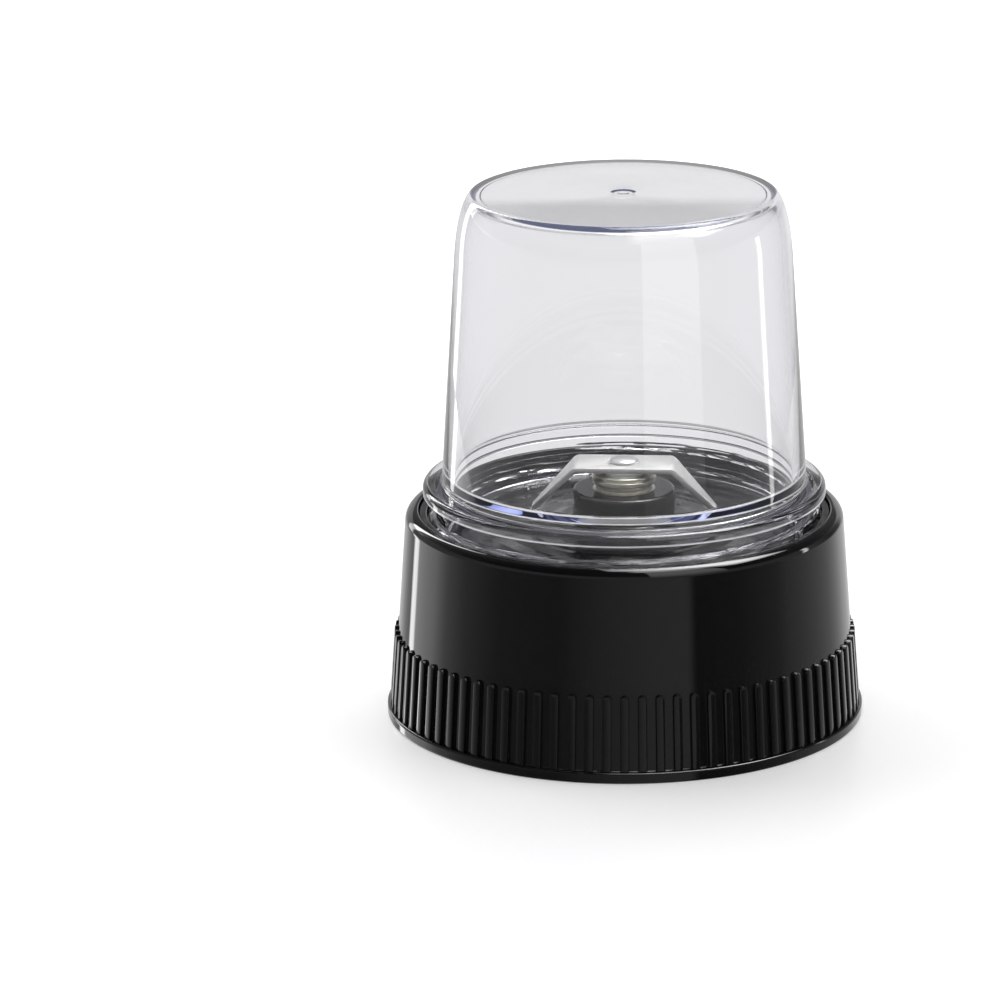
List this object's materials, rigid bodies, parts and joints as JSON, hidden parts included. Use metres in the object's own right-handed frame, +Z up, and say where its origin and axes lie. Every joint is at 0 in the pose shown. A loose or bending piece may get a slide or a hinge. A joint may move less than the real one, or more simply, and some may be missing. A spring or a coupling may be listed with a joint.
{
  "type": "electric spice grinder head",
  "caption": "Screw-on clear jar over a ribbed black collar with a removable blade unit: a bent two-arm blade on a bearing-held shaft, driven from below through a toothed coupling.",
  "frame": {"origin": "on the turning axis, in the plane that the collar stands on", "axes": "+Z up the turning axis, -Y towards the viewer, +X along the blade to the right"},
  "size_m": [0.1, 0.1, 0.1112],
  "materials": {
    "gloss_black_plastic": "polished injection moulding",
    "black_plastic": "semi-gloss injection moulding",
    "zinc_steel": "bright zinc plate",
    "silicone": "matt silicone",
    "turned_steel": "turned stainless steel",
    "sintered_bronze": "oiled sintered bronze",
    "felt": "oil-soaked wool felt",
    "nitrile_rubber": "matt moulded rubber",
    "nylon": "natural nylon",
    "polished_steel": "polished stainless steel",
    "blade_steel": "satin stainless sheet, ground edge",
    "spring_steel": "phosphated spring steel",
    "brass_insert": "turned brass",
    "coupling_plastic": "glass-filled nylon",
    "clear_plastic": "clear polished styrene-acrylonitrile moulding"
  },
  "bodies": {
    "collar": {"outer_shell": "gloss_black_plastic", "inner_sleeve": "black_plastic", "shell_screws": "zinc_steel"},
    "carrier": {"blade_carrier": "black_plastic", "jar_seal": "silicone", "bearing_housing": "turned_steel", "upper_bush": "sintered_bronze", "lower_bush": "sintered_bronze", "oil_felt": "felt", "shaft_seal": "nitrile_rubber", "garter_spring": "zinc_steel", "upper_thrust_washer": "nylon"},
    "rotor": {"drive_shaft": "turned_steel", "hub_cap": "polished_steel", "blade_spacer": "turned_steel", "blade": "blade_steel", "lower_thrust_washer": "nylon", "retaining_clip": "spring_steel", "coupling_insert": "brass_insert", "drive_coupling": "coupling_plastic", "coupling_washer": "zinc_steel", "coupling_screw": "zinc_steel"},
    "jar": {"jar": "clear_plastic"}
  },
  "joints": [
    {"name": "jar_twist", "type": "hinge", "parent": "collar", "child": "carrier", "pos_m": [0, 0, 0], "axis": [0, 0, 1], "range_deg": [0, 540]},
    {"name": "jar_lift", "type": "slide", "parent": "carrier", "child": "jar", "axis": [0, 0, 1], "range_m": [0, 0.006]},
    {"name": "blade_spin", "type": "hinge", "parent": "carrier", "child": "rotor", "pos_m": [0, 0, 0], "axis": [0, 0, 1], "continuous": true}
  ],
  "couplings": [
    {"joint": "jar_lift", "follows": "jar_twist", "m_per_rad": 0.00063661}
  ]
}
